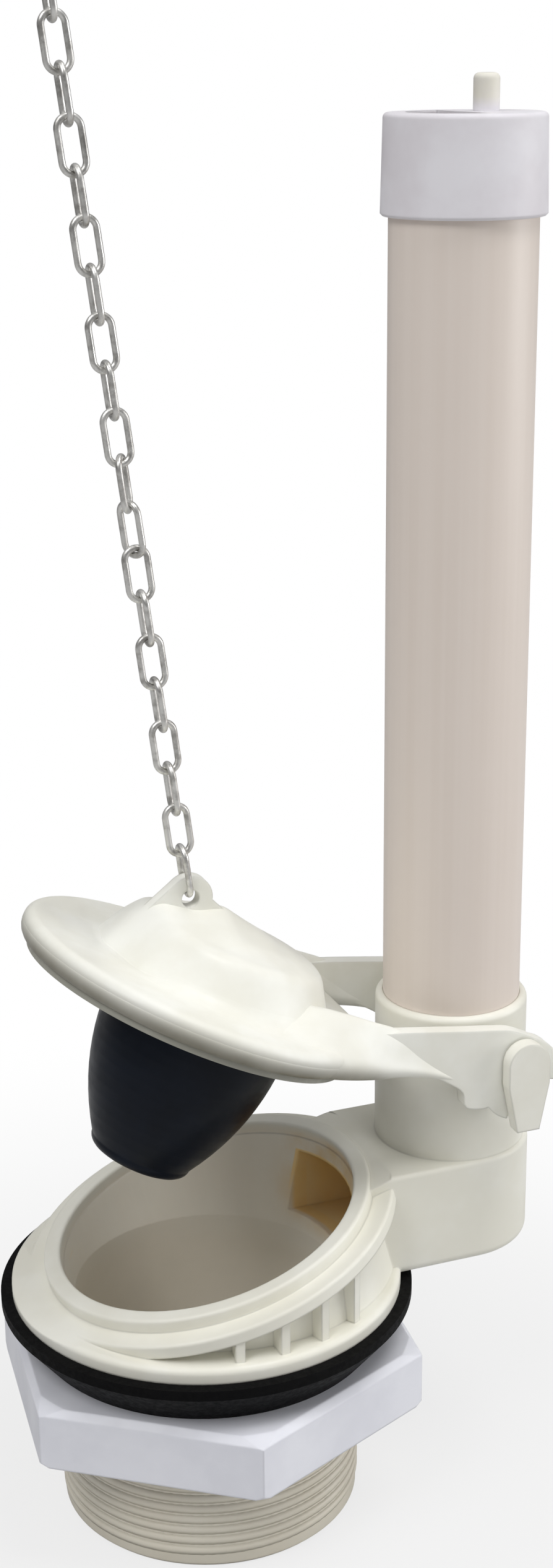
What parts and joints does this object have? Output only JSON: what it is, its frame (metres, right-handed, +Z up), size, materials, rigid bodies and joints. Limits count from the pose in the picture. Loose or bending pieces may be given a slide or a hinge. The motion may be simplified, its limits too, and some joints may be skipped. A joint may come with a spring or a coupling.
{
  "type": "toilet flush valve",
  "caption": "Flush valve with a threaded outlet shank, tilted seat, capped overflow tube, and a hinged float flapper that a chain lifts; a gasket and nut clamp it in a cistern's floor.",
  "frame": {"origin": "centre of the shank's open lower end, on the axis of its bore", "axes": "+Z up along the shank and the overflow tube, +X from the shank to the overflow tube, Y along the hinge axis"},
  "size_m": [0.1088, 0.0866, 0.3061],
  "materials": {
    "ivory_plastic": "moulded, soft sheen",
    "beige_plastic": "drawn pipe, fine lengthwise lines",
    "white_plastic": "moulded, soft sheen",
    "black_rubber": "matt sponge",
    "cool_white_plastic": "moulded, soft sheen",
    "flapper_plastic": "moulded, soft sheen",
    "grey_rubber": "matt, soft",
    "dark_plastic": "matt, faintly blue",
    "chain_steel": "dull wire"
  },
  "bodies": {
    "valve": {"valve_body": "ivory_plastic", "overflow_tube": "beige_plastic", "tube_cap": "white_plastic"},
    "gasket": {"shank_gasket": "black_rubber"},
    "nut": {"mounting_nut": "cool_white_plastic"},
    "flapper": {"flapper_frame": "flapper_plastic", "seat_seal": "grey_rubber", "flapper_float": "dark_plastic"},
    "chain": {"chain_hook": "chain_steel", "chain_link_01": "chain_steel", "chain_link_02": "chain_steel", "chain_link_03": "chain_steel", "chain_link_04": "chain_steel", "chain_link_05": "chain_steel", "chain_link_06": "chain_steel", "chain_link_07": "chain_steel", "chain_link_08": "chain_steel", "chain_link_09": "chain_steel", "chain_link_10": "chain_steel", "chain_link_11": "chain_steel", "chain_link_12": "chain_steel", "chain_link_13": "chain_steel", "chain_link_14": "chain_steel", "chain_link_15": "chain_steel", "chain_link_16": "chain_steel", "chain_link_17": "chain_steel", "chain_link_18": "chain_steel", "chain_link_19": "chain_steel", "chain_link_20": "chain_steel"}
  },
  "joints": [
    {"name": "flapper_hinge", "type": "hinge", "parent": "valve", "child": "flapper", "pos_m": [0.0582, 0, 0.0873], "axis": [0, 1, 0], "range_deg": [-40.9, 25]},
    {"name": "chain_swing", "type": "hinge", "parent": "flapper", "child": "chain", "pos_m": [-0.00205, 0, 0.12673], "axis": [0, 1, 0], "range_deg": [-25, 40.9]},
    {"name": "gasket_slide", "type": "slide", "parent": "valve", "child": "gasket", "axis": [0, 0, 1], "range_m": [-0.01155, 0]},
    {"name": "nut_turn", "type": "hinge", "parent": "gasket", "child": "nut", "pos_m": [0, 0, 0.029], "axis": [0, 0, 1], "range_deg": [-1800, 0]}
  ],
  "couplings": [
    {"joint": "chain_swing", "follows": "flapper_hinge", "ratio": -1},
    {"joint": "gasket_slide", "follows": "nut_turn", "m_per_rad": 0.00036749}
  ]
}
